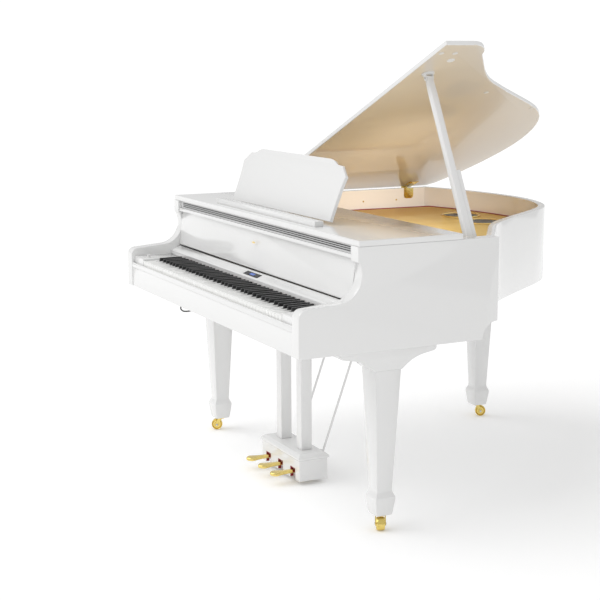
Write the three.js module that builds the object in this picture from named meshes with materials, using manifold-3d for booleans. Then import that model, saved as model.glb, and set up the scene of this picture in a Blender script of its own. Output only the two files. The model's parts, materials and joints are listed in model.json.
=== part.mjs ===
// Digital piano in a small grand-piano case: case, raised lid and prop, fallboard, keys, music desk,
// three legs on casters and a pedal lyre. Millimetres, +Z up, +X to the treble side, +Y to the tail.
// Lengths along Y are counted from the front of the arms, and the finished group is centred at the end.
import * as THREE from "three";
import { mergeVertices } from "three/addons/utils/BufferGeometryUtils.js";
import Module from "manifold-3d";

// ---- driving dimensions ----
const gap = 0.3; // between pieces that touch
const width = 1512;
const depth = 1470; // from the arms to the tail of the lid
const sideThickness = 46;
const sideRear = 698; // where the straight sides end
const caseBottom = 606;
const deckTop = 946;
const deckThickness = 18;
const deckFront = 200;
const deckRear = 565;
const armTop = 752;
const armRound = 26;
const scrollRadius = 83; // the round hollow between arm and deck
const scrollCentre = { y: 127, z: 843 };
const pillarFoot = 881; // lower end of the small pillar under the deck
const rimThickness = 26;
const rimBottom = 655;
const rimInset = 10; // the lid's overhang past the rim
const boardThickness = 24;
const tailBottom = 650; // underside of the board that closes the tail
const tailTop = 662;
const panelBoard = 6; // thickness of the soundboard
const soundboardTop = 846;
const wellFront = 585; // the well behind the deck, where the folded prop lies
const wellRear = 690;
const whiteLength = 150; // key length in front of the control panel
const blackLength = 96;
const keyPitch = 23.5;
const whiteKeys = 52;
const keyFront = 12;
const whiteTop = 715;
const blackTop = 727;
const blackWidth = 10.5;
const keyGap = 1;
const keyPivotY = 350;
const keyBarBottom = 664; // bars that join the black keys under the white ones
const keyBarTop = 680;
const slipTop = 699;
const frontBoardTop = 680;
const panelTop = 752;
const fallHingeY = 206;
const fallHingeZ = 760.5;
const fallHeight = 126.5; // from its hinge to its top edge
const fallThickness = 15;
const lidAngle = 22.8; // degrees above closed
const lidThickness = 15.5;
const lidAxisInset = 4; // hinge axis inside the bass side
const lidAxisZ = 932;
const lidRise = -1.7; // lid underside, from its hinge axis
const cupY = 632;
const cupDrop = 16; // prop pivot below the lid's underside
const propLean = 4; // degrees the prop leans out past square to the lid
const propFoot = { inset: 66.5, z: 903 }; // centre of the prop's foot, in from the treble side
const propWidth = 22;
const shortLength = 235;
const shortWidth = 16;
const legTopHalf = 45;
const legNarrowHalf = 28;
const bracketHeight = 79;
const legSpread = 652;
const legFrontY = 338;
const footBottom = 51;
const wheelRadius = 22;
const wheelWidth = 26;
const casterTrail = 14;
const lyreHalf = 156;
const lyreFront = 296;
const lyreRear = 406;
const lyreBottom = 16;
const lyreTop = 94;
const lyreWall = 12;
const postSpread = 82;
const postSize = 41;
const staySpread = 97;
const pedalPitch = 101;
const pedalZ = 42;
const pedalThickness = 12;
const pedalTipY = 206;
const deskAngle = 20; // degrees the music desk leans back
const deskY = 297;
const deskPivotZ = 957;
const deskThickness = 12;
const louvreBottom = 900;

const wasm = await Module();
wasm.setup();

// ---- materials ----
function finish(color, roughness, metalness = 0) {
  return new THREE.MeshStandardMaterial({ color, roughness, metalness });
}

const white = finish(0xf4f4f2, 0.12);
const brass = finish(0xc9a045, 0.25, 1);
const gold = finish(0xd9b765, 0.35);
const ivory = finish(0xf6f5f0, 0.2);
const ebony = finish(0x18181a, 0.35);
const black = finish(0x141416, 0.4);
const grey = finish(0x8b8c90, 0.5);

// ---- solids ----
function solid(shape) {
  if (!shape.isBufferGeometry) return shape;
  const bare = shape.clone();
  bare.deleteAttribute("normal");
  bare.deleteAttribute("uv");
  const merged = mergeVertices(bare, 1e-4);
  return new wasm.Manifold(
    new wasm.Mesh({
      numProp: 3,
      vertProperties: merged.attributes.position.array,
      triVerts: new Uint32Array(merged.index.array),
    }),
  );
}

const join = (...shapes) => shapes.map(solid).reduce((whole, next) => whole.add(next));
const cut = (body, ...tools) => tools.map(solid).reduce((left, tool) => left.subtract(tool), solid(body));

function geometryOf(body) {
  const mesh = body.getMesh();
  const points = [];
  for (let i = 0; i < mesh.numVert; i++) {
    points.push(...mesh.vertProperties.subarray(i * mesh.numProp, i * mesh.numProp + 3));
  }
  const geometry = new THREE.BufferGeometry();
  geometry.setAttribute("position", new THREE.Float32BufferAttribute(points, 3));
  geometry.setIndex([...mesh.triVerts]);
  return geometry;
}

function piece(name, shape, material, parent) {
  const mesh = new THREE.Mesh(shape.isBufferGeometry ? shape : geometryOf(shape), material);
  mesh.name = name;
  parent.add(mesh);
  return mesh;
}

function block(x0, x1, y0, y1, z0, z1) {
  const box = new THREE.BoxGeometry(x1 - x0, y1 - y0, z1 - z0);
  return box.translate((x0 + x1) / 2, (y0 + y1) / 2, (z0 + z1) / 2);
}

// A flat outline swept along the axis that its plane leaves out.
const across = new THREE.Vector3(1, 0, 0);
const back = new THREE.Vector3(0, 1, 0);
const up = new THREE.Vector3(0, 0, 1);
const planes = { XY: new THREE.Matrix4(), YZ: new THREE.Matrix4().makeBasis(back, up, across) };

function sweep(outline, plane, from, to, divisions = 8) {
  const isShape = outline instanceof THREE.Shape;
  const drawn = isShape ? outline.getPoints(divisions) : outline.map((p) => new THREE.Vector2(...p));
  const corners = drawn.filter((p, i) => p.distanceTo(drawn.at(i - 1)) > 0.01); // no corner twice
  const options = { depth: to - from, bevelEnabled: false };
  const swept = new THREE.ExtrudeGeometry(new THREE.Shape(corners), options);
  return swept.translate(0, 0, from).applyMatrix4(planes[plane]);
}

function cylinder(radius, length, direction, centre, sides = 16) {
  const axis = { x: [0, 0, -Math.PI / 2], y: [0, 0, 0], z: [Math.PI / 2, 0, 0] }[direction];
  const shape = new THREE.CylinderGeometry(radius, radius, length, sides);
  return shape.rotateZ(axis[2]).rotateX(axis[0]).translate(...centre);
}

function lathe(profile, sides, x, y) {
  const points = profile.map(([r, z]) => new THREE.Vector2(r, z));
  return new THREE.LatheGeometry(points, sides).rotateX(Math.PI / 2).translate(x, y, 0);
}

// A rectangular post or box whose sides move out and in with height: rows of [z, outset].
function rectangleLoft(rows, halfWidth, front, rear, x = 0) {
  const points = [];
  for (const [z, out] of rows) {
    const w = halfWidth + out;
    const [y0, y1] = [front - out, rear + out];
    points.push([x - w, y0, z], [x + w, y0, z], [x + w, y1, z], [x - w, y1, z]);
  }
  const faces = [0, 2, 1, 0, 3, 2];
  for (let i = 0; i < rows.length - 1; i++) {
    for (let k = 0; k < 4; k++) {
      const a = 4 * i + k;
      const b = 4 * i + ((k + 1) % 4);
      faces.push(a, b, b + 4, a, b + 4, a + 4);
    }
  }
  const last = 4 * (rows.length - 1);
  faces.push(last, last + 1, last + 2, last, last + 2, last + 3);
  const geometry = new THREE.BufferGeometry();
  geometry.setAttribute("position", new THREE.Float32BufferAttribute(points.flat(), 3));
  geometry.setIndex(faces);
  return geometry;
}

const radians = THREE.MathUtils.degToRad;
const half = width / 2;
const inside = half - sideThickness - gap;
const deckBottom = deckTop - deckThickness;
const sideTop = deckBottom - gap;
const bedTop = caseBottom + boardThickness;
const tailEnd = depth - rimInset;

// A point of the tail: x in half widths, y in parts of the way from the sides' end to the rim's end.
const tailPoint = (x, y) => new THREE.Vector2(x * half, sideRear + y * (tailEnd - sideRear));

const piano = new THREE.Group();
piano.position.y = -depth / 2;

// ---- case ----
// Side of the case: the arm, the round hollow up to the pillar, and a hollow cut at the rear foot.
function sideOutline() {
  const rise = new THREE.Shape();
  const pillarAngle = Math.asin((pillarFoot - scrollCentre.z) / scrollRadius);
  const footCut = 56;
  rise.moveTo(0, caseBottom);
  rise.lineTo(sideRear - footCut, caseBottom);
  rise.absarc(sideRear, caseBottom, footCut, Math.PI, Math.PI / 2, true);
  rise.lineTo(sideRear, sideTop);
  rise.lineTo(deckFront - 3, sideTop);
  rise.lineTo(deckFront - 3, pillarFoot);
  rise.absarc(scrollCentre.y, scrollCentre.z, scrollRadius, pillarAngle, -Math.PI / 2, true);
  rise.lineTo(armRound, armTop);
  rise.absarc(armRound, armTop - armRound, armRound, Math.PI / 2, Math.PI, false);
  return rise;
}

piece("left_side_panel", sweep(sideOutline(), "YZ", -half, -half + sideThickness, 10), white, piano);
piece("right_side_panel", sweep(sideOutline(), "YZ", half - sideThickness, half, 10), white, piano);

// Plan of the case behind the sides: straight bass side, round tail and the inward bend of the treble side.
function rimCurve() {
  const bend = new THREE.CurvePath();
  const stops = [
    [[-1, 0.857], [-0.82, 0.936], [-0.569, 0.993], [-0.344, 1]],
    [[-0.344, 1], [-0.146, 1], [0.079, 0.941], [0.212, 0.79]],
    [[0.212, 0.79], [0.324, 0.661], [0.397, 0.528], [0.556, 0.324]],
    [[0.556, 0.324], [0.648, 0.206], [0.794, 0.127], [inside / half, 0.018]],
  ];
  stops.forEach((corner) => bend.add(new THREE.CubicBezierCurve(...corner.map(([x, y]) => tailPoint(x, y)))));
  return bend.getPoints(9);
}

// The plan curve moved sideways: positive is outwards.
function offsetCurve(points, distance) {
  return points.map((point, i) => {
    const before = points[Math.max(i - 1, 0)];
    const after = points[Math.min(i + 1, points.length - 1)];
    const along = after.clone().sub(before).normalize();
    return new THREE.Vector2(point.x - along.y * distance, point.y + along.x * distance);
  });
}

const rimOuter = rimCurve();
const rimEnd = rimOuter[rimOuter.length - 1];

// The rim's plan as a closed band, its inner face moved in by a clearance.
function rimBand(clearance) {
  const thickness = rimThickness + clearance;
  const isInside = (p) => p.x > -half + thickness && p.x < rimEnd.x - 1;
  const inner = offsetCurve(rimOuter, -thickness).filter(isInside);
  const [first, second] = inner;
  const cornerY = first.y - ((first.x + half - thickness) * (second.y - first.y)) / (second.x - first.x);
  const last = inner.at(-1);
  const lead = last.clone().sub(inner.at(-2));
  const endY = last.y + (lead.y * (rimEnd.x - last.x)) / lead.x;
  const innerFace = [[-half + thickness, cornerY], ...inner.map((p) => [p.x, p.y]), [rimEnd.x, endY]];
  const outerFace = rimOuter.map((p) => [p.x, p.y]).reverse();
  return [[-half, sideRear + gap], [-half + thickness, sideRear + gap], ...innerFace, ...outerFace];
}

// A flat board between the sides from a front edge, fitted to the rim's inner face at the tail.
function tailFill(front, z0, z1) {
  const inset = rimThickness / 2;
  const shoulder = sideRear + 2 * gap;
  const bend = offsetCurve(rimOuter, -inset).filter((p) => p.x > -half + inset && p.x < inside);
  const sides = [[-half + inset, shoulder], [-inside, shoulder], [-inside, front], [inside, front]];
  const area = [...sides, ...bend.reverse().map((p) => [p.x, p.y])];
  return cut(sweep(area, "XY", z0, z1), sweep(rimBand(gap), "XY", z0 - 1, z1 + 1));
}

const bedRear = sideRear - 60;
const riserFront = bedRear - 20;
const bed = block(-inside, inside, 24, bedRear, caseBottom, bedTop);
const riser = block(-inside, inside, riserFront, bedRear, caseBottom, tailBottom - gap);
const keyRail = block(-inside, inside, keyPivotY + 1, keyPivotY + 17, caseBottom, keyBarBottom - gap);
const lipFront = wellRear - 10;
const lip = block(-inside, inside, lipFront, wellRear, tailTop + gap, soundboardTop);
const rimClearance = sweep(rimBand(gap), "XY", tailTop, soundboardTop + 1);

piece("bent_rim", sweep(rimBand(0), "XY", rimBottom, sideTop), white, piano);
piece("key_bed", join(bed, riser, keyRail), white, piano);
piece("tail_board", tailFill(riserFront, tailBottom, tailTop), white, piano);
const board = tailFill(lipFront, soundboardTop - panelBoard, soundboardTop);
piece("soundboard", join(board, cut(lip, rimClearance)), gold, piano);
piece("front_board", block(-inside, inside, 3, 23, caseBottom, frontBoardTop), white, piano);
piece("front_deck", block(-half, half, deckFront, deckRear, deckBottom, deckTop), white, piano);
piece("belly_rail", block(-inside, inside, wellFront - 20, wellFront, bedTop + gap, sideTop), white, piano);

function speaker(name, centre) {
  const z = soundboardTop + gap;
  const r = 80;
  const basket = [[0, z], [r, z], [r, z + 3], [r - 7, z + 6], [r - 14, z + 4]];
  const cone = [[r - 20, z + 3], [r - 58, z + 1.5], [r - 64, z + 5], [0, z + 7]];
  piece(name, lathe([...basket, ...cone], 28, centre.x, centre.y), black, piano);
}

speaker("speaker_left", tailPoint(-0.464, 0.757));
speaker("speaker_right", tailPoint(-0.18, 0.71));

// ---- front of the case ----
const slip = new THREE.Shape();
const slipBottom = frontBoardTop + gap;
const slipRear = keyFront - 1.5;
const slipRound = (slipRear - 1) / 2;
slip.moveTo(1, slipBottom);
slip.lineTo(slipRear, slipBottom);
slip.absarc(slipRear - slipRound, slipTop - slipRound, slipRound, 0, Math.PI, false);
piece("key_slip", sweep(slip, "YZ", -inside, inside, 4), white, piano);

const keyboardHalf = (whiteKeys * keyPitch) / 2;
const cheekTop = whiteTop + 6;
const panelFront = keyFront + whiteLength;
const panelRear = fallHingeY - fallThickness / 2 - 0.8;

for (const side of [-1, 1]) {
  const inner = side * (keyboardHalf + 1.5);
  const outer = side * inside;
  const [x0, x1] = [Math.min(inner, outer), Math.max(inner, outer)];
  const body = block(x0, x1, keyFront, panelFront - 1, slipBottom, cheekTop);
  piece(side < 0 ? "cheek_block_left" : "cheek_block_right", body, white, piano);
}

const knobHeight = 10;
const knobPlace = [-keyboardHalf - 48, 52, cheekTop + gap + knobHeight / 2];
piece("volume_knob", cylinder(7, knobHeight, "z", knobPlace, 20), white, piano);

// The control panel's top slopes up to the fallboard and holds a display.
const panelRise = 12;
const slopeFront = panelFront + 6;
const panelOutline = [
  [panelFront, cheekTop],
  [panelRear, cheekTop],
  [panelRear, panelTop],
  [slopeFront, panelTop - panelRise],
  [panelFront, panelTop - panelRise - 5],
];
const panelSlope = Math.atan2(panelRise, panelRear - slopeFront);
const displayHalf = { x: 60, y: 11 };
const displayX = 34;
const displayY = (slopeFront + panelRear) / 2 - 5;

function displayBlock(clearance, z0, z1) {
  const x = displayHalf.x - clearance;
  const y = displayHalf.y - clearance;
  const box = block(-x, x, -y, y, z0, z1);
  const z = panelTop - (panelRear - displayY) * Math.tan(panelSlope);
  return box.rotateX(panelSlope).translate(displayX, displayY, z);
}

const panelBody = cut(sweep(panelOutline, "YZ", -inside, inside), displayBlock(0, -2, 12));
piece("control_panel", panelBody, white, piano);
piece("display_window", displayBlock(0.4, -1.6, 0.6), black, piano);

// Slats above the fallboard, and the rail under them.
const louvreDepth = 14;
const louvreFront = deckFront + 8;
const louvreRear = louvreFront + louvreDepth;
const slotHeight = 4.2;
const slotPitch = 6.4;
const slotHalf = inside - 22;
const slots = [0, 1, 2].map((i) => {
  const z = louvreBottom + 5 + i * slotPitch;
  return block(-slotHalf, slotHalf, louvreFront - 1, louvreRear + 1, z, z + slotHeight);
});
const louvre = block(-inside, inside, louvreFront, louvreRear, louvreBottom, sideTop);
piece("louvre", cut(louvre, ...slots), grey, piano);
const upperRail = block(-inside, inside, deckFront, louvreFront + 10, louvreBottom - 12, louvreBottom - gap);
piece("upper_rail", upperRail, white, piano);

const fallboard = new THREE.Shape();
fallboard.moveTo(-fallThickness / 2, fallHeight);
fallboard.absarc(0, 0, fallThickness / 2, Math.PI, 2 * Math.PI, false);
fallboard.lineTo(fallThickness / 2, fallHeight);
const fallGroup = new THREE.Group();
fallGroup.position.set(0, fallHingeY, fallHingeZ);
piano.add(fallGroup);
piece("fallboard", sweep(fallboard, "YZ", -inside + 1.5, inside - 1.5, 10), white, fallGroup);

// ---- keys ----
// A natural's place in the octave says which sharps cut into it: 0 is C. The lowest key is A.
const sharpAfter = { 0: -4, 1: 4, 3: -5, 4: 0, 5: 5 }; // sideways shift of each sharp from the naturals' seam
const place = (i) => (i + 5) % 7;
const seam = (i) => -keyboardHalf + (i + 1) * keyPitch;
const sharpCentre = (i) => seam(i) + sharpAfter[place(i)];
const hasSharp = (i) => i >= 0 && i < whiteKeys - 1 && sharpAfter[place(i)] !== undefined;
const blackFront = panelFront - 4 - blackLength;
const middle = [23, 24]; // C and D of the middle octave
const keyBack = keyPivotY + 20;
const whiteBottom = whiteTop - 22;

// The plan of a run of naturals joined at the back.
function naturals(first, last) {
  const slot = blackWidth / 2 + keyGap;
  const points = [[seam(first - 1) + keyGap / 2, keyBack]];
  for (let i = first; i <= last; i++) {
    const left = seam(i - 1) + keyGap / 2;
    const right = seam(i) - keyGap / 2;
    const neckLeft = hasSharp(i - 1) ? sharpCentre(i - 1) + slot : left;
    const neckRight = hasSharp(i) ? sharpCentre(i) - slot : right;
    if (i > first) points.push([neckLeft, panelFront + 2]);
    else points.push([left, panelFront + 2], [neckLeft, panelFront + 2]);
    if (neckLeft !== left) points.push([neckLeft, blackFront - keyGap], [left, blackFront - keyGap]);
    points.push([left, keyFront], [right, keyFront]);
    if (neckRight !== right) points.push([right, blackFront - keyGap], [neckRight, blackFront - keyGap]);
    points.push([neckRight, panelFront + 2]);
    if (i === last) points.push([right, panelFront + 2], [right, keyBack]);
  }
  return sweep(points, "XY", whiteBottom, whiteTop);
}

function sharp(i) {
  const x = sharpCentre(i);
  return sweep(
    [
      [blackFront, keyBarBottom],
      [panelFront - 4, keyBarBottom],
      [panelFront - 4, blackTop],
      [blackFront + 4, blackTop],
      [blackFront, blackTop - 7],
    ],
    "YZ",
    x - blackWidth / 2,
    x + blackWidth / 2,
  );
}

function sharps(first, last) {
  const runs = [];
  for (let i = first; i <= last; i++) if (hasSharp(i)) runs.push(i);
  const left = sharpCentre(runs[0]) - blackWidth / 2;
  const right = sharpCentre(runs[runs.length - 1]) + blackWidth / 2;
  const bar = block(left, right, panelFront - 20, keyBack, keyBarBottom, keyBarTop);
  return join(bar, ...runs.map(sharp));
}

piece("naturals_bass", naturals(0, middle[0] - 1), ivory, piano);
middle.forEach((i, n) => piece("natural_" + "cd"[n], naturals(i, i), ivory, piano));
piece("naturals_treble", naturals(middle[1] + 1, whiteKeys - 1), ivory, piano);
piece("sharps_bass", sharps(0, middle[0] - 1), ebony, piano);
piece("sharp_c", sharps(middle[0], middle[0]), ebony, piano);
piece("sharp_d", sharps(middle[1], middle[1]), ebony, piano);
piece("sharps_treble", sharps(middle[1] + 1, whiteKeys - 1), ebony, piano);

// ---- music desk on the deck ----
const ledgeHalf = 405;
const ledgeTop = deckTop + 18;
const ledge = block(-ledgeHalf, ledgeHalf, deskY - 66, deskY - 35, deckTop + gap, ledgeTop);
const restTop = deskPivotZ - deskThickness / 2 - gap;
const deskRests = [-260, 260].map((x) => block(x - 30, x + 30, deskY - 40, deskY + 9, deckTop + gap, restTop));
piece("desk_ledge", join(ledge, ...deskRests), white, piano);

const deskOutline = new THREE.Shape();
deskOutline.moveTo(-392, 0);
deskOutline.lineTo(392, 0);
deskOutline.quadraticCurveTo(388, 100, 402, 152);
deskOutline.quadraticCurveTo(372, 172, 356, 186);
deskOutline.quadraticCurveTo(318, 184, 300, 196);
deskOutline.quadraticCurveTo(284, 204, 250, 204);
deskOutline.lineTo(-250, 204);
deskOutline.quadraticCurveTo(-284, 204, -300, 196);
deskOutline.quadraticCurveTo(-318, 184, -356, 186);
deskOutline.quadraticCurveTo(-372, 172, -402, 152);
deskOutline.quadraticCurveTo(-388, 100, -392, 0);
const deskGroup = new THREE.Group();
deskGroup.position.set(0, deskY, deskPivotZ);
deskGroup.rotation.x = radians(-deskAngle);
piano.add(deskGroup);
const desk = sweep(deskOutline, "XY", -deskThickness / 2, deskThickness / 2, 5).rotateX(Math.PI / 2);
piece("music_desk", desk, white, deskGroup);

// ---- lid, its hinges and its prop ----
const lidAxis = { x: -half + lidAxisInset, z: lidAxisZ };
const lidGroup = new THREE.Group();
lidGroup.position.set(lidAxis.x, 0, lidAxis.z);
lidGroup.rotation.y = radians(-lidAngle);
piano.add(lidGroup);

// Inside lidGroup the lid lies closed, with x counted from the hinge axis.
function lidOutline() {
  const front = deckRear + 2;
  const left = 5;
  const right = half - lidAxis.x;
  const corner = 50;
  const bend = offsetCurve(rimOuter, rimInset).map((p) => [p.x - lidAxis.x, p.y]);
  const outline = new THREE.Shape();
  outline.moveTo(left, front);
  outline.lineTo(right, front);
  outline.lineTo(right, sideRear - 30);
  outline.quadraticCurveTo(right, sideRear + 12, right - corner, sideRear + 40);
  const kept = bend.filter(([x]) => x > left + 7 && x < right - corner - 2);
  kept.reverse().forEach(([x, y]) => outline.lineTo(x, y));
  outline.lineTo(left, rimOuter[0].y);
  return outline;
}

piece("main_lid", sweep(lidOutline(), "XY", lidRise, lidRise + lidThickness, 6), white, lidGroup);

const leafThickness = 1.6;
const leafLength = 46;
const knuckle = 3.4;
const wallFace = -half + rimThickness - lidAxis.x; // inner face of the rim, from the hinge axis

function lidHinge(tag, y) {
  const wall = tag === "front" ? -half + sideThickness - lidAxis.x : wallFace;
  const leafTop = sideTop + gap - lidAxis.z + leafThickness;
  const [leafFront, leafBack] = [y - 23, y + 23];
  const leafIn = wall + gap;
  const leafOut = leafIn + leafThickness;
  const plateLow = leafTop - leafLength;
  const round = 14;
  const plate = new THREE.Shape();
  plate.moveTo(leafFront, leafTop - 2 * leafThickness);
  plate.lineTo(leafFront, plateLow + round);
  plate.quadraticCurveTo(leafFront, plateLow, leafFront + round, plateLow);
  plate.lineTo(leafBack - round, plateLow);
  plate.quadraticCurveTo(leafBack, plateLow, leafBack, plateLow + round);
  plate.lineTo(leafBack, leafTop - 2 * leafThickness);
  const lower = join(
    cylinder(knuckle, 22, "y", [0, y - 12, 0], 12),
    block(-1, leafOut, leafFront, y - 1, leafTop - leafThickness, leafTop),
    block(leafIn, leafOut, leafFront, y - 1, leafTop - 3 * leafThickness, leafTop),
    sweep(plate, "YZ", leafIn, leafOut, 6),
  );
  piece("lid_hinge_" + tag + "_lower", lower.translate([lidAxis.x, 0, lidAxis.z]), brass, piano);
  const under = lidRise - gap;
  const upper = join(
    cylinder(knuckle, 22, "y", [0, y + 12, 0], 12),
    block(1, wall + 12, y + 1, leafBack, under - leafThickness, under),
    block(wall + 6, wall + 6 + leafLength, leafFront, leafBack, under - leafThickness, under),
  );
  piece("lid_hinge_" + tag + "_upper", upper, brass, lidGroup);
}

lidHinge("front", sideRear - 38);
lidHinge("rear", tailPoint(-1, 0.731).y);

// The prop runs from its pivot under the lid to its foot: reach is the pivot's distance along the lid.
const pivotZ = lidRise - cupDrop;
const lean = radians(lidAngle + propLean);
const footFromAxis = { x: half - propFoot.inset - lidAxis.x, z: propFoot.z - lidAxis.z };
const openLid = { cos: Math.cos(radians(lidAngle)), sin: Math.sin(radians(lidAngle)) };
const target = { x: footFromAxis.x + pivotZ * openLid.sin, z: footFromAxis.z - pivotZ * openLid.cos };
const spread = openLid.cos * Math.cos(lean) + openLid.sin * Math.sin(lean);
const cupReach = (target.x * Math.cos(lean) + target.z * Math.sin(lean)) / spread;
const propLength = (target.x * openLid.sin - target.z * openLid.cos) / spread;

const earRadius = 8;
const earThickness = 3;
const cupEars = [-1, 1].map((side) => {
  const y = cupY + side * (propWidth / 2 + 2);
  const y0 = y - earThickness / 2;
  const tabTop = lidRise - gap - 1;
  const tab = block(cupReach - earRadius, cupReach + earRadius, y0, y0 + earThickness, pivotZ, tabTop);
  return join(cylinder(earRadius, earThickness, "y", [cupReach, y, pivotZ], 16), tab);
});
const cupDisc = cylinder(19, 3.5, "z", [cupReach, cupY, lidRise - gap - 1.75], 24);
piece("prop_cup", join(cupDisc, ...cupEars), white, lidGroup);

const propGroup = new THREE.Group();
propGroup.position.set(cupReach, cupY, pivotZ);
propGroup.rotation.y = radians(-propLean);
lidGroup.add(propGroup);

// A square stick seen from the side, hanging from its pivot, with round ends.
function stick(length, size) {
  const tip = 8;
  const taper = -60;
  const outline = new THREE.Shape();
  outline.absarc(0, 0, tip, 0, Math.PI, false);
  outline.lineTo(-size / 2, taper);
  outline.lineTo(-size / 2, -length);
  outline.absarc(0, -length, size / 2, Math.PI, 2 * Math.PI, false);
  outline.lineTo(size / 2, taper);
  return sweep(outline, "XY", -size / 2, size / 2, 6).rotateX(Math.PI / 2);
}

piece("prop_long", stick(propLength, propWidth), white, propGroup);
const shortGroup = new THREE.Group();
shortGroup.position.set(0, propWidth / 2 + gap + shortWidth / 2, -propLength + 6);
propGroup.add(shortGroup);
piece("prop_short", stick(shortLength, shortWidth).translate(0, 0, shortLength), white, shortGroup);

// Bracket at the foot of the prop, on the inner face of the treble side.
const plateRear = cupY + 32;
const shelfTop = propFoot.z - propWidth / 2 - 5;
const footPlate = block(inside - 3, inside, cupY - 24, plateRear, shelfTop - 40, sideTop - 4);
const footShelf = block(inside - 34, inside, cupY - 24, plateRear, shelfTop - 5, shelfTop);
piece("prop_foot_plate", join(footPlate, footShelf), brass, piano);

// ---- legs and casters ----
const legs = [
  { tag: "front_left", x: -legSpread, y: legFrontY, under: caseBottom, heading: -116 },
  { tag: "front_right", x: legSpread, y: legFrontY, under: caseBottom, heading: -26 },
  { tag: "rear", x: tailPoint(-0.472, 0).x, y: tailPoint(0, 0.89).y, under: tailBottom, heading: 64 },
];

// Side view of a leg's bracket: two arms with rounded ends that swing down to the top of the leg.
function legBracket(y, under, front, rear) {
  const top = under - gap;
  const endLow = top - 30;
  const shoulder = under - bracketHeight + gap;
  const outline = new THREE.Shape();
  outline.moveTo(front, top);
  outline.lineTo(front, endLow + 11);
  outline.quadraticCurveTo(front, endLow, front + 16, endLow - 2);
  outline.bezierCurveTo(front + 60, endLow - 8, y - legTopHalf - 40, endLow - 14, y - legTopHalf - 3, shoulder);
  outline.lineTo(y + legTopHalf + 3, shoulder);
  outline.bezierCurveTo(y + legTopHalf + 40, endLow - 14, rear - 60, endLow - 8, rear - 16, endLow - 2);
  outline.quadraticCurveTo(rear, endLow, rear, endLow + 11);
  outline.lineTo(rear, top);
  return outline;
}

function caster(tag, x, y, heading) {
  const group = new THREE.Group();
  group.position.set(x, y, 0);
  group.rotation.z = radians(heading);
  piano.add(group);
  const cheekGap = wheelWidth / 2 + 1.2;
  const crown = footBottom - gap;
  const plate = 5;
  const boss = 7;
  const cheek = (side) => {
    const outline = new THREE.Shape();
    outline.moveTo(-8, crown - 1);
    outline.lineTo(casterTrail - boss, wheelRadius);
    outline.absarc(casterTrail, wheelRadius, boss, Math.PI, 2 * Math.PI, false);
    outline.lineTo(9, crown - 1);
    const near = side * cheekGap;
    const far = side * (cheekGap + 3);
    return sweep(outline, "XY", -Math.max(near, far), -Math.min(near, far), 5).rotateX(Math.PI / 2);
  };
  const crownPlate = cylinder(17, plate, "z", [0, 0, crown - plate / 2], 20);
  const axle = cylinder(2.5, 2 * cheekGap + 2, "y", [casterTrail, 0, wheelRadius], 12);
  piece("caster_fork_" + tag, join(crownPlate, cheek(-1), cheek(1), axle), brass, group);
  const sides = 24;
  const corner = wheelRadius / Math.cos(Math.PI / sides);
  const tyre = cylinder(corner, wheelWidth, "y", [0, 0, 0], sides).rotateY(Math.PI / sides);
  const axleHole = cylinder(2.9, wheelWidth + 4, "y", [0, 0, 0], 12);
  const wheel = cut(tyre, axleHole).translate([casterTrail, 0, wheelRadius]);
  piece("caster_wheel_" + tag, wheel, brass, group);
}

legs.forEach(({ tag, x, y, under, heading }) => {
  const narrow = 136;
  const rows = [
    [footBottom, legNarrowHalf - 1],
    [footBottom + 8, legNarrowHalf + 1],
    [104, legNarrowHalf + 7],
    [112, legNarrowHalf + 7],
    [narrow - 8, legNarrowHalf],
    [narrow, legNarrowHalf - 1],
    [under - bracketHeight, legTopHalf],
  ];
  piece("leg_" + tag, rectangleLoft(rows, 0, y, y, x), white, piano);
  const rear = Math.min(y + 172, tailEnd - rimThickness - 8);
  const bracket = sweep(legBracket(y, under, y - 170, rear), "YZ", x - legTopHalf - 2, x + legTopHalf + 2, 6);
  piece("leg_bracket_" + tag, bracket, white, piano);
  caster(tag, x, y, heading);
});

// ---- pedal lyre ----
// The lyre's box: straight walls, a small lip and a sloped shoulder up to the flat top. Rows of [z, outset].
const lyreTopZ = lyreTop + 18;
const lyreRows = [
  [lyreBottom, 0],
  [lyreTop - 4, 0],
  [lyreTop, 5],
  [lyreTop + 6, 5],
  [lyreTop + 10, 1],
  [lyreTopZ, -9],
];
const lyreShell = rectangleLoft(lyreRows, lyreHalf, lyreFront, lyreRear);
const lyreHollow = block(
  -lyreHalf + lyreWall,
  lyreHalf - lyreWall,
  lyreFront + lyreWall,
  lyreRear - lyreWall,
  0,
  lyreTop - lyreWall,
);
const notchHalf = 20;
const notchTop = pedalZ + 14;
const pedalNotches = [-1, 0, 1].map((n) => {
  const x = n * pedalPitch;
  return block(x - notchHalf, x + notchHalf, lyreFront - 10, lyreFront + lyreWall + 1, 0, notchTop);
});
const pedalPivotY = lyreRear - lyreWall - 16;
const railFront = pedalPivotY + 7;
const pedalRail = block(-lyreHalf + 1, lyreHalf - 1, railFront, lyreRear - 1, pedalZ - 12, pedalZ + 12);
piece("lyre_box", join(cut(lyreShell, lyreHollow, ...pedalNotches), pedalRail), white, piano);

const postBottom = lyreTopZ + gap;
const postY = (lyreFront + lyreRear) / 2;
for (const side of [-1, 1]) {
  const x = side * postSpread;
  const name = side < 0 ? "left" : "right";
  const h = postSize / 2;
  const post = block(x - h, x + h, postY - h, postY + h, postBottom, caseBottom - gap);
  piece("lyre_post_" + name, post, white, piano);
  const stayFoot = new THREE.Vector3(side * staySpread, lyreRear + 10, lyreTop - 4);
  const stayHead = new THREE.Vector3(side * staySpread, lyreRear + 194, caseBottom - 2);
  const along = stayHead.clone().sub(stayFoot);
  const turn = new THREE.Quaternion().setFromUnitVectors(back, along.clone().normalize());
  const rod = new THREE.CylinderGeometry(4, 4, along.length(), 12).applyQuaternion(turn);
  rod.translate(...stayFoot.clone().add(stayHead).multiplyScalar(0.5).toArray());
  piece("lyre_stay_" + name, rod, white, piano);
}

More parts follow.
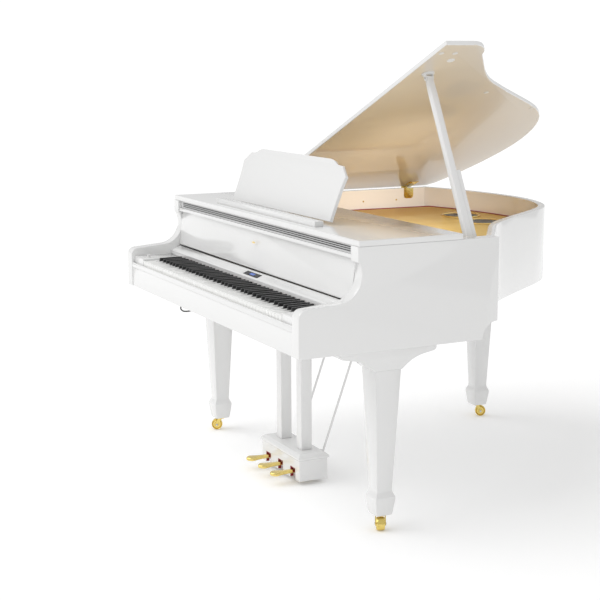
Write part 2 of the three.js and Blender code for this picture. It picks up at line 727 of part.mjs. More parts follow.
function pedalOutline() {
  const outline = new THREE.Shape();
  const toe = 21;
  const waist = 10;
  const tip = pedalTipY + toe;
  const heel = pedalPivotY + 6;
  outline.moveTo(-waist, heel);
  outline.lineTo(-waist, tip + 44);
  outline.quadraticCurveTo(-waist - 2, tip + 22, -toe, tip);
  outline.absarc(0, tip, toe, Math.PI, 2 * Math.PI, false);
  outline.quadraticCurveTo(waist + 2, tip + 22, waist, tip + 44);
  outline.lineTo(waist, heel);
  return outline;
}

["soft", "sostenuto", "damper"].forEach((name, n) => {
  const bar = sweep(pedalOutline(), "XY", pedalZ - pedalThickness / 2, pedalZ + pedalThickness / 2, 7);
  piece("pedal_" + name, bar.translate((n - 1) * pedalPitch, 0, 0), brass, piano);
});

// ---- fittings under the case ----
const hookX = -216;
const hookRoute = [
  [9, caseBottom - gap],
  [9, caseBottom - 11],
  [18, caseBottom - 19],
  [40, caseBottom - 21],
  [58, caseBottom - 19],
];
const hookPath = new THREE.CatmullRomCurve3(hookRoute.map(([y, z]) => new THREE.Vector3(hookX, y, z)));
const wire = new THREE.Shape().absarc(0, 0, 2.4, 0, 2 * Math.PI, false);
const hook = new THREE.ExtrudeGeometry(wire, { steps: 16, extrudePath: hookPath, curveSegments: 4 });
piece("headphone_hook", hook, black, piano);

export default piano;
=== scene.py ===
import json
import math

import bmesh
import bpy
from mathutils import Matrix, Vector


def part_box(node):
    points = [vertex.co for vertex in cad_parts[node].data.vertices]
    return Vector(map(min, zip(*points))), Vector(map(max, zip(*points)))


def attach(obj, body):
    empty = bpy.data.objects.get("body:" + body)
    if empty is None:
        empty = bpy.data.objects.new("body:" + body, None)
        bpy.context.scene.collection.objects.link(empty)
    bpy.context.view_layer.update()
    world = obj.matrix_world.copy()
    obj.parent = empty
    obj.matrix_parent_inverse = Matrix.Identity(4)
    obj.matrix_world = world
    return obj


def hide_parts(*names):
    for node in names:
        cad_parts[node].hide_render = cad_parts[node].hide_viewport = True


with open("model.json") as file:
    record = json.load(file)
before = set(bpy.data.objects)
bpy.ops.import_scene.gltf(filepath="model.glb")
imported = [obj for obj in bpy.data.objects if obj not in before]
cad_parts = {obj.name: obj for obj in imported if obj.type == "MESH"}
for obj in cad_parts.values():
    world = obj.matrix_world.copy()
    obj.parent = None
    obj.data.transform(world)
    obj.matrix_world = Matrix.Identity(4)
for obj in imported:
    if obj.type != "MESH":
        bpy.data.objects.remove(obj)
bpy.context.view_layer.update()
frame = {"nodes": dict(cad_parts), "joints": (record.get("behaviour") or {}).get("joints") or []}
joints = {joint["name"]: joint for joint in frame["joints"]}
scene = bpy.context.scene
radians = math.radians
print("frame loaded:", len(frame["nodes"]), "nodes")

# camera: first, so that everything after it is seen from the right place
cameraSettings = {
    "place": (4.194, -2.424, 1.484),
    "azimuth": 63.669,  # 0 looks along +Y, 90 along -X
    "pitch": -10.49,
    "roll": -0.173,
    "lens": 80.405,
    "shift": (-0.0041, 0.0064),
}
cameraData = bpy.data.cameras.new("camera")
camera = bpy.data.objects.new("camera", cameraData)
scene.collection.objects.link(camera)
scene.camera = camera
cameraData.sensor_width = 36
cameraData.lens = cameraSettings["lens"]
cameraData.shift_x, cameraData.shift_y = cameraSettings["shift"]
cameraData.clip_end = 200
camera.matrix_world = (
    Matrix.Translation(cameraSettings["place"])
    @ Matrix.Rotation(radians(cameraSettings["azimuth"]), 4, "Z")
    @ Matrix.Rotation(radians(90 + cameraSettings["pitch"]), 4, "X")
    @ Matrix.Rotation(radians(cameraSettings["roll"]), 4, "Z")
)
print("camera set")


# shader node groups shared by the materials
def newGroup(name, inputs, outputs):
    group = bpy.data.node_groups.new(name, "ShaderNodeTree")
    for label, kind, value in inputs:
        socket = group.interface.new_socket(label, in_out="INPUT", socket_type=kind)
        if value is not None:
            socket.default_value = value
    for label, kind in outputs:
        group.interface.new_socket(label, in_out="OUTPUT", socket_type=kind)
    return group, group.nodes.new("NodeGroupInput"), group.nodes.new("NodeGroupOutput")


def addNode(tree, kind, values=None, **settings):
    node = tree.nodes.new(kind)
    for key, value in settings.items():
        setattr(node, key, value)
    for key, value in (values or {}).items():
        node.inputs[key].default_value = value
    return node


def objectPoint(tree):
    return addNode(tree, "ShaderNodeTexCoord").outputs["Object"]


def makePolishGroup():
    # slow waviness of a polished surface, fine dust in the lacquer and faint hand marks in the gloss
    group, given, made = newGroup(
        "polishedSurface",
        [
            ("Roughness", "NodeSocketFloat", 0.1),
            ("Wave", "NodeSocketFloat", 0.2),
            ("Smears", "NodeSocketFloat", 0.05),
            ("Color", "NodeSocketColor", (0.8, 0.8, 0.8, 1)),
            ("Tint", "NodeSocketColor", (0.75, 0.75, 0.72, 1)),
        ],
        [("Color", "NodeSocketColor"), ("Roughness", "NodeSocketFloat"), ("Normal", "NodeSocketVector")],
    )
    link = group.links.new
    point = objectPoint(group)
    wave = addNode(group, "ShaderNodeTexNoise", {"Scale": 55, "Detail": 2})
    smears = addNode(group, "ShaderNodeTexNoise", {"Scale": 6.5, "Detail": 5, "Roughness": 0.62})
    patches = addNode(group, "ShaderNodeTexNoise", {"Scale": 1.7, "Detail": 3})
    for texture in (wave, smears, patches):
        link(point, texture.inputs["Vector"])
    bump = addNode(group, "ShaderNodeBump", {"Distance": 0.0004})
    link(given.outputs["Wave"], bump.inputs["Strength"])
    link(wave.outputs["Fac"], bump.inputs["Height"])
    rough = addNode(group, "ShaderNodeMath", operation="MULTIPLY_ADD")
    link(smears.outputs["Fac"], rough.inputs[0])
    link(given.outputs["Smears"], rough.inputs[1])
    link(given.outputs["Roughness"], rough.inputs[2])
    mix = addNode(group, "ShaderNodeMix", data_type="RGBA")
    link(patches.outputs["Fac"], mix.inputs["Factor"])
    link(given.outputs["Color"], mix.inputs["A"])
    link(given.outputs["Tint"], mix.inputs["B"])
    link(mix.outputs["Result"], made.inputs["Color"])
    link(rough.outputs["Value"], made.inputs["Roughness"])
    link(bump.outputs["Normal"], made.inputs["Normal"])
    return group


def makeFuzzGroup():
    # short fibres of felt and cloth: speckled colour and a nap
    group, given, made = newGroup(
        "fibreNap",
        [
            ("Color", "NodeSocketColor", (0.3, 0.02, 0.03, 1)),
            ("Dark", "NodeSocketColor", (0.12, 0.01, 0.015, 1)),
            ("Scale", "NodeSocketFloat", 900),
            ("Depth", "NodeSocketFloat", 0.6),
        ],
        [("Color", "NodeSocketColor"), ("Normal", "NodeSocketVector")],
    )
    link = group.links.new
    fibres = addNode(group, "ShaderNodeTexNoise", {"Detail": 6, "Roughness": 0.7, "Distortion": 1.5})
    link(objectPoint(group), fibres.inputs["Vector"])
    link(given.outputs["Scale"], fibres.inputs["Scale"])
    ramp = addNode(group, "ShaderNodeMapRange", {"From Min": 0.35, "From Max": 0.65})
    link(fibres.outputs["Fac"], ramp.inputs["Value"])
    mix = addNode(group, "ShaderNodeMix", data_type="RGBA")
    link(ramp.outputs["Result"], mix.inputs["Factor"])
    link(given.outputs["Dark"], mix.inputs["A"])
    link(given.outputs["Color"], mix.inputs["B"])
    bump = addNode(group, "ShaderNodeBump", {"Distance": 0.0008})
    link(given.outputs["Depth"], bump.inputs["Strength"])
    link(fibres.outputs["Fac"], bump.inputs["Height"])
    link(mix.outputs["Result"], made.inputs["Color"])
    link(bump.outputs["Normal"], made.inputs["Normal"])
    return group


def makeTarnishGroup():
    # buffed metal: fine polishing lines, warmer and duller patches
    group, given, made = newGroup(
        "buffedMetal",
        [
            ("Color", "NodeSocketColor", (0.8, 0.6, 0.25, 1)),
            ("Dull", "NodeSocketColor", (0.55, 0.38, 0.14, 1)),
            ("Roughness", "NodeSocketFloat", 0.12),
            ("Lines", "NodeSocketFloat", 0.1),
        ],
        [("Color", "NodeSocketColor"), ("Roughness", "NodeSocketFloat"), ("Normal", "NodeSocketVector")],
    )
    link = group.links.new
    point = objectPoint(group)
    stretch = addNode(group, "ShaderNodeMapping", {"Scale": (40, 900, 40)})
    link(point, stretch.inputs["Vector"])
    lines = addNode(group, "ShaderNodeTexNoise", {"Scale": 1, "Detail": 3})
    link(stretch.outputs["Vector"], lines.inputs["Vector"])
    patches = addNode(group, "ShaderNodeTexNoise", {"Scale": 60, "Detail": 4, "Roughness": 0.6})
    link(point, patches.inputs["Vector"])
    ramp = addNode(group, "ShaderNodeMapRange", {"From Min": 0.55, "From Max": 0.8})
    link(patches.outputs["Fac"], ramp.inputs["Value"])
    mix = addNode(group, "ShaderNodeMix", data_type="RGBA")
    link(ramp.outputs["Result"], mix.inputs["Factor"])
    link(given.outputs["Color"], mix.inputs["A"])
    link(given.outputs["Dull"], mix.inputs["B"])
    rough = addNode(group, "ShaderNodeMath", {1: 0.16}, operation="MULTIPLY_ADD")
    link(ramp.outputs["Result"], rough.inputs[0])
    link(given.outputs["Roughness"], rough.inputs[2])
    bump = addNode(group, "ShaderNodeBump", {"Distance": 0.0001})
    link(given.outputs["Lines"], bump.inputs["Strength"])
    link(lines.outputs["Fac"], bump.inputs["Height"])
    link(mix.outputs["Result"], made.inputs["Color"])
    link(rough.outputs["Value"], made.inputs["Roughness"])
    link(bump.outputs["Normal"], made.inputs["Normal"])
    return group


polishGroup = makePolishGroup()
fuzzGroup = makeFuzzGroup()
tarnishGroup = makeTarnishGroup()


def newMaterial(name, **sockets):
    material = bpy.data.materials.new(name)
    material.use_nodes = True
    tree = material.node_tree
    shader = tree.nodes["Principled BSDF"]
    for label, value in sockets.items():
        shader.inputs[label.replace("_", " ")].default_value = value
    return material, tree, shader


def placeGroup(tree, group, shader, values):
    node = addNode(tree, "ShaderNodeGroup", node_tree=group)
    for label, value in values.items():
        node.inputs[label].default_value = value
    for label, socket in (("Color", "Base Color"), ("Roughness", "Roughness"), ("Normal", "Normal")):
        if label in node.outputs:
            tree.links.new(node.outputs[label], shader.inputs[socket])
    return node


def lacquer(name, color, tint, roughness=0.07, wave=0.12, smears=0.04, coat=0.6):
    material, tree, shader = newMaterial(name, Coat_Weight=coat, Coat_Roughness=0.02, IOR=1.5)
    values = {"Color": (*color, 1), "Tint": (*tint, 1), "Roughness": roughness, "Wave": wave,
              "Smears": smears}
    placeGroup(tree, polishGroup, shader, values)
    return material


def metal(name, color, dull, roughness, lines=0.12):
    material, tree, shader = newMaterial(name, Metallic=1.0)
    values = {"Color": (*color, 1), "Dull": (*dull, 1), "Roughness": roughness, "Lines": lines}
    placeGroup(tree, tarnishGroup, shader, values)
    return material


def felt(name, color, dark, scale=900, depth=0.7):
    material, tree, shader = newMaterial(name, Roughness=0.95, Sheen_Weight=0.35, Sheen_Roughness=0.5)
    values = {"Color": (*color, 1), "Dark": (*dark, 1), "Scale": scale, "Depth": depth}
    placeGroup(tree, fuzzGroup, shader, values)
    return material


def mixColors(tree, first, second):
    return addNode(tree, "ShaderNodeMix", {"A": (*first, 1), "B": (*second, 1)}, data_type="RGBA")


def soundboardWood():
    # gold lacquer over straight spruce grain that runs slantwise under the strings' place
    material, tree, shader = newMaterial(
        "goldSoundboard", Coat_Weight=0.2, Coat_Roughness=0.03, Specular_IOR_Level=0.05)
    link = tree.links.new
    turn = addNode(tree, "ShaderNodeMapping", {"Rotation": (0, 0, radians(38)), "Scale": (1, 0.06, 1)})
    link(objectPoint(tree), turn.inputs["Vector"])
    years = addNode(
        tree, "ShaderNodeTexWave", {"Scale": 70, "Distortion": 1.6, "Detail": 3, "Detail Scale": 1.4})
    years.bands_direction = "X"
    flecks = addNode(tree, "ShaderNodeTexNoise", {"Scale": 240, "Detail": 4})
    tone = addNode(tree, "ShaderNodeTexNoise", {"Scale": 9, "Detail": 2})
    for texture in (years, flecks, tone):
        link(turn.outputs["Vector"], texture.inputs["Vector"])
    grain = mixColors(tree, (0.88, 0.62, 0.20), (0.76, 0.50, 0.14))
    link(years.outputs["Fac"], grain.inputs["Factor"])
    both = addNode(tree, "ShaderNodeMix", {"B": (0.94, 0.72, 0.31, 1)}, data_type="RGBA")
    link(grain.outputs["Result"], both.inputs["A"])
    link(tone.outputs["Fac"], both.inputs["Factor"])
    link(both.outputs["Result"], shader.inputs["Base Color"])
    rough = addNode(tree, "ShaderNodeMapRange", {"To Min": 0.4, "To Max": 0.6})
    link(flecks.outputs["Fac"], rough.inputs["Value"])
    link(rough.outputs["Result"], shader.inputs["Roughness"])
    bump = addNode(tree, "ShaderNodeBump", {"Strength": 0.12, "Distance": 0.0004})
    link(years.outputs["Fac"], bump.inputs["Height"])
    link(bump.outputs["Normal"], shader.inputs["Normal"])
    return material


def keyStick():
    # plain wood of the key levers behind the playing surface
    material, tree, shader = newMaterial("keyLeverWood", Roughness=0.6)
    link = tree.links.new
    turn = addNode(tree, "ShaderNodeMapping", {"Scale": (1, 0.05, 1)})
    link(objectPoint(tree), turn.inputs["Vector"])
    grain = addNode(tree, "ShaderNodeTexNoise", {"Scale": 320, "Detail": 5, "Roughness": 0.6})
    link(turn.outputs["Vector"], grain.inputs["Vector"])
    mix = mixColors(tree, (0.62, 0.44, 0.26), (0.80, 0.64, 0.43))
    link(grain.outputs["Fac"], mix.inputs["Factor"])
    link(mix.outputs["Result"], shader.inputs["Base Color"])
    bump = addNode(tree, "ShaderNodeBump", {"Strength": 0.25, "Distance": 0.0003})
    link(grain.outputs["Fac"], bump.inputs["Height"])
    link(bump.outputs["Normal"], shader.inputs["Normal"])
    return material


def speakerMesh():
    # punched steel grille: rows of round holes in black paint
    material, tree, shader = newMaterial("speakerGrille", Metallic=0.6)
    link = tree.links.new
    holes = addNode(tree, "ShaderNodeTexVoronoi", {"Scale": 330, "Randomness": 0})
    link(objectPoint(tree), holes.inputs["Vector"])
    edge = addNode(tree, "ShaderNodeMapRange", {"From Min": 0.26, "From Max": 0.34})
    link(holes.outputs["Distance"], edge.inputs["Value"])
    mix = mixColors(tree, (0.004, 0.004, 0.004), (0.035, 0.035, 0.038))
    link(edge.outputs["Result"], mix.inputs["Factor"])
    link(mix.outputs["Result"], shader.inputs["Base Color"])
    rough = addNode(tree, "ShaderNodeMapRange", {"To Min": 0.9, "To Max": 0.35})
    link(edge.outputs["Result"], rough.inputs["Value"])
    link(rough.outputs["Result"], shader.inputs["Roughness"])
    bump = addNode(tree, "ShaderNodeBump", {"Strength": 0.8, "Distance": 0.0008})
    link(edge.outputs["Result"], bump.inputs["Height"])
    link(bump.outputs["Normal"], shader.inputs["Normal"])
    return material


def displayPicture():
    # a lit liquid crystal field: a blue block with pale rows of cells on a dark ground
    material, tree, shader = newMaterial(
        "displayPicture", Roughness=0.2, Emission_Strength=0.6, Specular_IOR_Level=0.2)
    link = tree.links.new
    low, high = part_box("display_window")
    middle, half = (low + high) / 2, (high - low) / 2
    split = addNode(tree, "ShaderNodeSeparateXYZ")
    shift = addNode(tree, "ShaderNodeMapping", {"Location": tuple(-middle)})
    link(objectPoint(tree), shift.inputs["Vector"])
    link(shift.outputs["Vector"], split.inputs["Vector"])

    def within(channel, reach):
        size = addNode(tree, "ShaderNodeMath", operation="ABSOLUTE")
        link(split.outputs[channel], size.inputs[0])
        test = addNode(tree, "ShaderNodeMath", {1: reach}, operation="LESS_THAN")
        link(size.outputs["Value"], test.inputs[0])
        return test.outputs["Value"]

    field = addNode(tree, "ShaderNodeMath", operation="MULTIPLY")
    link(within("X", half.x * 0.3), field.inputs[0])
    link(within("Y", half.y * 0.5), field.inputs[1])
    cells = addNode(tree, "ShaderNodeTexBrick", {
        "Scale": 260, "Mortar Size": 0.03, "Color1": (0.05, 0.2, 0.95, 1), "Color2": (0.25, 0.45, 1, 1),
        "Mortar": (0.02, 0.06, 0.5, 1)})
    link(shift.outputs["Vector"], cells.inputs["Vector"])
    mix = addNode(tree, "ShaderNodeMix", {"A": (0.004, 0.005, 0.008, 1)}, data_type="RGBA")
    link(field.outputs["Value"], mix.inputs["Factor"])
    link(cells.outputs["Color"], mix.inputs["B"])
    link(mix.outputs["Result"], shader.inputs["Emission Color"])
    dark = addNode(tree, "ShaderNodeTexNoise", {"Scale": 400})
    link(shift.outputs["Vector"], dark.inputs["Vector"])
    ground = mixColors(tree, (0.008, 0.008, 0.01), (0.016, 0.016, 0.02))
    link(dark.outputs["Fac"], ground.inputs["Factor"])
    link(ground.outputs["Result"], shader.inputs["Base Color"])
    return material


whiteLacquer = lacquer("whiteLacquer", (0.83, 0.83, 0.825), (0.815, 0.815, 0.81), wave=0.06)
creamLacquer = lacquer("creamInnerLacquer", (0.92, 0.85, 0.76), (0.91, 0.82, 0.72), roughness=0.2, coat=0.4)
lidUnderLacquer = lacquer("lidUnderLacquer", (0.72, 0.66, 0.57), (0.69, 0.62, 0.52), roughness=0.35, coat=0.4)
keyWhite = lacquer(
    "whiteKeyTop", (0.93, 0.93, 0.92), (0.91, 0.91, 0.89),
    roughness=0.22, wave=0.05, smears=0.1, coat=0.3,
)
keyBlack = lacquer(
    "blackKeyTop", (0.012, 0.012, 0.013), (0.02, 0.02, 0.021),
    roughness=0.24, wave=0.25, smears=0.2, coat=0.15,
)
whitePlastic = lacquer(
    "whiteMoulding", (0.84, 0.84, 0.83), (0.8, 0.8, 0.79),
    roughness=0.28, wave=0.3, smears=0.1, coat=0.0,
)
slatGrey = lacquer("louvreSlat", (0.66, 0.66, 0.66), (0.6, 0.6, 0.6), roughness=0.3, coat=0.1)
panelInk = lacquer("panelInk", (0.52, 0.53, 0.55), (0.47, 0.48, 0.5), roughness=0.35, coat=0.0)
blackPaint = lacquer(
    "blackPaint", (0.012, 0.012, 0.013), (0.022, 0.022, 0.022),
    roughness=0.35, wave=0.4, smears=0.2, coat=0.0,
)
bumperRubber = lacquer(
    "bumperRubber", (0.78, 0.77, 0.74), (0.7, 0.69, 0.66),
    roughness=0.6, wave=0.5, smears=0.1, coat=0.0,
)
windowGlass = lacquer("displayFrame", (0.004, 0.004, 0.005), (0.007, 0.007, 0.008), roughness=0.15, coat=0.15)
brass = metal("polishedBrass", (0.86, 0.68, 0.24), (0.64, 0.47, 0.14), 0.12)
brassWheel = metal("castBrass", (0.82, 0.64, 0.20), (0.52, 0.38, 0.10), 0.18, lines=0.3)
goldRing = metal("goldRing", (0.92, 0.70, 0.28), (0.78, 0.55, 0.2), 0.1, lines=0.05)
steelPin = metal("steelPin", (0.6, 0.6, 0.62), (0.35, 0.34, 0.33), 0.25)
redFelt = felt("redFelt", (0.42, 0.02, 0.035), (0.16, 0.008, 0.014))
# painted shade: a grey sheet with a felt nap, set in the gap between the key slip and the key fronts, stands
# in for the shade of that gap
gapShadeSheet = felt("keyFrontFelt", (0.30, 0.30, 0.31), (0.2, 0.2, 0.21), scale=1400, depth=0.4)
grilleCloth = felt("grilleCloth", (0.02, 0.02, 0.021), (0.006, 0.006, 0.006), scale=1600)
goldBoard = soundboardWood()
leverWood = keyStick()
grille = speakerMesh()
picture = displayPicture()
print("materials made:", len(bpy.data.materials))


# mesh helpers
sunk = 0.0004  # how far a fitting is let into the surface it sits on


def finishMesh(mesh, smoothAngle):
    mesh.shade_smooth()
    mesh.set_sharp_from_angle(angle=radians(smoothAngle))


def makePiece(name, bm, body, slotName, *materials, smoothAngle=35, replaces=()):
    bmesh.ops.remove_doubles(bm, verts=bm.verts, dist=1e-6)
    bmesh.ops.recalc_face_normals(bm, faces=bm.faces)
    mesh = bpy.data.meshes.new(name)
    bm.to_mesh(mesh)
    bm.free()
    for material in materials:
        mesh.materials.append(material)
    finishMesh(mesh, smoothAngle)
    piece = bpy.data.objects.new(name, mesh)
    scene.collection.objects.link(piece)
    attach(piece, body)
    if replaces:
        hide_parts(*replaces)
    return piece


def roundEdges(bm, edges, width, segments=2):
    bmesh.ops.bevel(bm, geom=edges, offset=width, offset_type="OFFSET", segments=segments,
                    profile=0.5, affect="EDGES", material=-1, clamp_overlap=True)


def paint(faces, index):
    for face in faces:
        face.material_index = index


def addBlock(bm, low, high, bevel=0.0, segments=2, index=0, at=Matrix.Identity(4)):
    low, high = Vector(low), Vector(high)
    made = bmesh.ops.create_cube(bm, size=1, matrix=at @ Matrix.Translation((low + high) / 2)
                                 @ Matrix.Diagonal((*(high - low), 1)))
    faces = {face for vert in made["verts"] for face in vert.link_faces}
    paint(faces, index)
    if bevel:
        roundEdges(bm, list({edge for face in faces for edge in face.edges}), bevel, segments)


def vertsOf(grown):
    return [item for item in grown["geom"] if isinstance(item, bmesh.types.BMVert)]


def addPlate(bm, outline, start, end, toPlace, bevel=0.0, segments=2, index=0):
    # a flat outline at height start, drawn out to height end, in the frame that toPlace gives
    face = bm.faces.new([bm.verts.new(toPlace @ Vector((x, y, start))) for x, y in outline])
    grown = bmesh.ops.extrude_face_region(bm, geom=[face])
    top = [item for item in grown["geom"] if isinstance(item, bmesh.types.BMFace)]
    way = toPlace.to_3x3() @ Vector((0, 0, end - start))
    bmesh.ops.translate(bm, verts=vertsOf(grown), vec=way)
    around = {side for edge in face.edges for side in edge.link_faces} | set(top)
    paint(around, index)
    if bevel:
        roundEdges(bm, list(set(top[0].edges) | set(face.edges)), bevel, segments)


def addSpun(bm, profile, toPlace, steps=32, index=0):
    # a half outline (radius, height) turned once round the height axis
    verts = [bm.verts.new(toPlace @ Vector((r, 0, z))) for r, z in profile]
    edges = [bm.edges.new(pair) for pair in zip(verts, verts[1:])]
    before = set(bm.faces)
    axis = toPlace.to_3x3() @ Vector((0, 0, 1))
    bmesh.ops.spin(bm, geom=verts + edges, cent=toPlace.translation, axis=axis,
                   angle=2 * math.pi, steps=steps, use_merge=True, use_duplicate=False)
    paint(set(bm.faces) - before, index)
    bmesh.ops.remove_doubles(bm, verts=bm.verts, dist=1e-6)


def placeAt(point, toward=(0, 0, 1)):
    turn = Vector((0, 0, 1)).rotation_difference(Vector(toward))
    return Matrix.Translation(point) @ turn.to_matrix().to_4x4()


def addScrew(bm, point, toward, radius=0.0035, height=0.0012, index=0):
    # a countersunk head with a cross slot shown as two sunk bars
    place = placeAt(point, toward)
    addSpun(bm, [(0, -0.0006), (radius, -0.0006), (radius, height * 0.3), (radius * 0.86, height * 0.8),
                 (radius * 0.3, height), (0, height)], place, 20, index)


def carry(name, material, bevel=0.0012, segments=2, smoothAngle=32, second=None, picks=None):
    # a CAD node that stays: welded, its flat faces joined, its edges eased, and given its finish
    node = frame["nodes"][name]
    mesh = node.data
    mesh.materials.clear()
    mesh.materials.append(material)
    if second:
        mesh.materials.append(second)
        for polygon in mesh.polygons:
            polygon.material_index = int(picks(polygon))
    mesh.shade_smooth()
    weld = node.modifiers.new("weld", "WELD")
    weld.merge_threshold = 2e-5
    if bevel:
        flatten = node.modifiers.new("flatten", "DECIMATE")
        flatten.decimate_type = "DISSOLVE"
        flatten.angle_limit = radians(1.5)
        flatten.delimit = {"MATERIAL"}
        ease = node.modifiers.new("ease", "BEVEL")
        ease.width = bevel
        ease.segments = segments
        ease.limit_method = "ANGLE"
        ease.angle_limit = radians(14)
        ease.use_clamp_overlap = True
        ease.harden_normals = True
    sharp = node.modifiers.new("sharp", "EDGE_SPLIT")
    sharp.split_angle = radians(smoothAngle + 20)
    return node


# casework that keeps its CAD shape
caseSettings = {"edge": 0.001, "panelEdge": 0.0016, "legEdge": 0.001, "lidEdge": 0.003}
for name in ("left_side_panel", "right_side_panel", "front_board", "front_deck", "fallboard", "music_desk"):
    carry(name, whiteLacquer, caseSettings["panelEdge"], 3)
for name in ("key_bed", "tail_board", "belly_rail", "cheek_block_left", "cheek_block_right", "control_panel",
             "upper_rail", "desk_ledge", "key_slip", "lyre_box", "lyre_post_left", "lyre_post_right",
             "prop_long", "prop_short"):
    carry(name, whiteLacquer, caseSettings["edge"])
for place in ("front_left", "front_right", "rear"):
    carry("leg_" + place, whiteLacquer, caseSettings["legEdge"])
    carry("leg_bracket_" + place, whiteLacquer, caseSettings["legEdge"])
for name in ("lyre_stay_left", "lyre_stay_right"):
    carry(name, whiteLacquer, 0)
carry("headphone_hook", blackPaint, 0)
carry("louvre", slatGrey, 0.0008)

rimMiddle = Vector((-0.25, 0.15, 0.8))


def isInner(polygon):
    inward = Vector((rimMiddle.x - polygon.center.x, rimMiddle.y - polygon.center.y, 0))
    return abs(polygon.normal.z) < 0.2 and polygon.normal.dot(inward) > 0


carry("bent_rim", whiteLacquer, caseSettings["panelEdge"], 3, second=creamLacquer, picks=isInner)

lidJoint = joints["lid_hinge"]
lidPlace = Matrix.Translation(lidJoint["pos_m"]) @ Matrix.Rotation(radians(lidJoint["range_deg"][0]), 4, "Y")
lidDown = lidPlace.to_3x3() @ Vector((0, 0, -1))
carry("main_lid", whiteLacquer, caseSettings["lidEdge"], 3, second=lidUnderLacquer,
      picks=lambda polygon: polygon.normal.dot(lidDown) > 0.9)

for place in ("front", "rear"):
    for leaf in ("upper", "lower"):
        carry(f"lid_hinge_{place}_{leaf}", brass, 0.0004)
carry("prop_cup", whitePlastic, 0.0006)
carry("prop_foot_plate", brass, 0.0006)
for place in ("front_left", "front_right", "rear"):
    carry("caster_fork_" + place, brassWheel, 0.0008)
carry("soundboard", goldBoard, 0.0006)
print("casework finished")


# keys: one separate key for each note, riding on the comb or single key of its CAD body
keySettings = {
    "count": 52,
    "gap": 0.001,
    "firstStep": 5,  # the lowest key is an A, the sixth white key of an octave
    "sharpShift": {0: -0.004, 1: 0.004, 3: -0.005, 4: 0.0, 5: 0.005},
    "middle": (23, 24),
    "topThickness": 0.0028,
    "lip": 0.0012,  # how far the key top stands out over its front
    "headTaper": 0.0011,
    "slope": 0.007,
    "leverHeight": 0.014,
    "topEdge": 0.0007,
    "edge": 0.0005,
    "bodyInset": 0.0004,  # each side of the wood under the key top
    "leverInset": 0.0008,
    "lap": 0.001,  # how far one block of a key runs into the next
    "underPanel": 0.02,
    "headGap": 0.004,  # between a black key's head and the control panel
    "headFoot": 0.012,
    "headEdge": 0.0016,
    "sharpLever": (0.001, 0.002, 0.0135),  # side inset, set back and height
}
keysLow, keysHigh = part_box("naturals_bass")[0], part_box("naturals_treble")[1]
sharpLow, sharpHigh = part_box("sharp_c")
panelLow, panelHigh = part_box("control_panel")
keyPitch = (keysHigh.x - keysLow.x + keySettings["gap"]) / keySettings["count"]
keyLeft = keysLow.x - keySettings["gap"] / 2
headEnd = panelLow.y - keySettings["headGap"]
headHalf = (sharpHigh.x - sharpLow.x) / 2


def seam(i):
    return keyLeft + (i + 1) * keyPitch


def sharpCentre(i):
    shift = keySettings["sharpShift"].get((i + keySettings["firstStep"]) % 7)
    if shift is None or not 0 <= i < keySettings["count"] - 1:
        return None
    return seam(i) + shift


def addNatural(bm, i):
    gap = keySettings["gap"]
    left, right = seam(i - 1) + gap / 2, seam(i) - gap / 2
    before, after = sharpCentre(i - 1), sharpCentre(i)
    neckLeft = left if before is None else before + headHalf + gap
    neckRight = right if after is None else after - headHalf - gap
    front, notch, back = keysLow.y, sharpLow.y - gap, panelLow.y + keySettings["underPanel"]
    outline = [(left, front), (right, front), (right, notch)]
    if neckRight != right:
        outline.append((neckRight, notch))
    outline += [(neckRight, back), (neckLeft, back)]
    if neckLeft != left:
        outline.append((neckLeft, notch))
    outline.append((left, notch))
    outline = [p for k, p in enumerate(outline) if p != outline[k - 1]]
    top = keysHigh.z
    under = top - keySettings["topThickness"]
    addPlate(bm, outline, under, top, Matrix.Identity(4), keySettings["topEdge"], 2)
    edge, lap = keySettings["edge"], keySettings["lap"]
    inset, thin = keySettings["bodyInset"], keySettings["leverInset"]
    base = keysLow.z
    addBlock(bm, (left + inset, front + keySettings["lip"], base),
             (right - inset, notch - lap / 2, under), edge, 1)
    addBlock(bm, (neckLeft + inset, notch - lap, base), (neckRight - inset, back, under), edge, 1)
    addBlock(bm, (neckLeft + thin, back - lap, base),
             (neckRight - thin, keysHigh.y, base + keySettings["leverHeight"]), edge, 1, index=1)


def addSharp(bm, i):
    centre = sharpCentre(i)
    taper, slope = keySettings["headTaper"], keySettings["slope"]
    foot = sharpLow.z + keySettings["headFoot"]
    made = bmesh.ops.create_cube(bm, size=1, matrix=Matrix.Translation(
        (centre, (sharpLow.y + headEnd) / 2, (sharpHigh.z + foot) / 2))
        @ Matrix.Diagonal((2 * headHalf, headEnd - sharpLow.y, sharpHigh.z - foot, 1)))
    for vert in made["verts"]:
        if vert.co.z > sharpHigh.z - 1e-4:
            vert.co.x += taper if vert.co.x < centre else -taper
            if vert.co.y < sharpLow.y + 1e-4:
                vert.co.y += slope
    faces = {face for vert in made["verts"] for face in vert.link_faces}
    roundEdges(bm, list({edge for face in faces for edge in face.edges}), keySettings["headEdge"], 3)
    inset, setBack, tall = keySettings["sharpLever"]
    reach = headHalf - inset
    addBlock(bm, (centre - reach, sharpLow.y + setBack, sharpLow.z),
             (centre + reach, sharpHigh.y, sharpLow.z + tall), keySettings["edge"], 1, index=1)


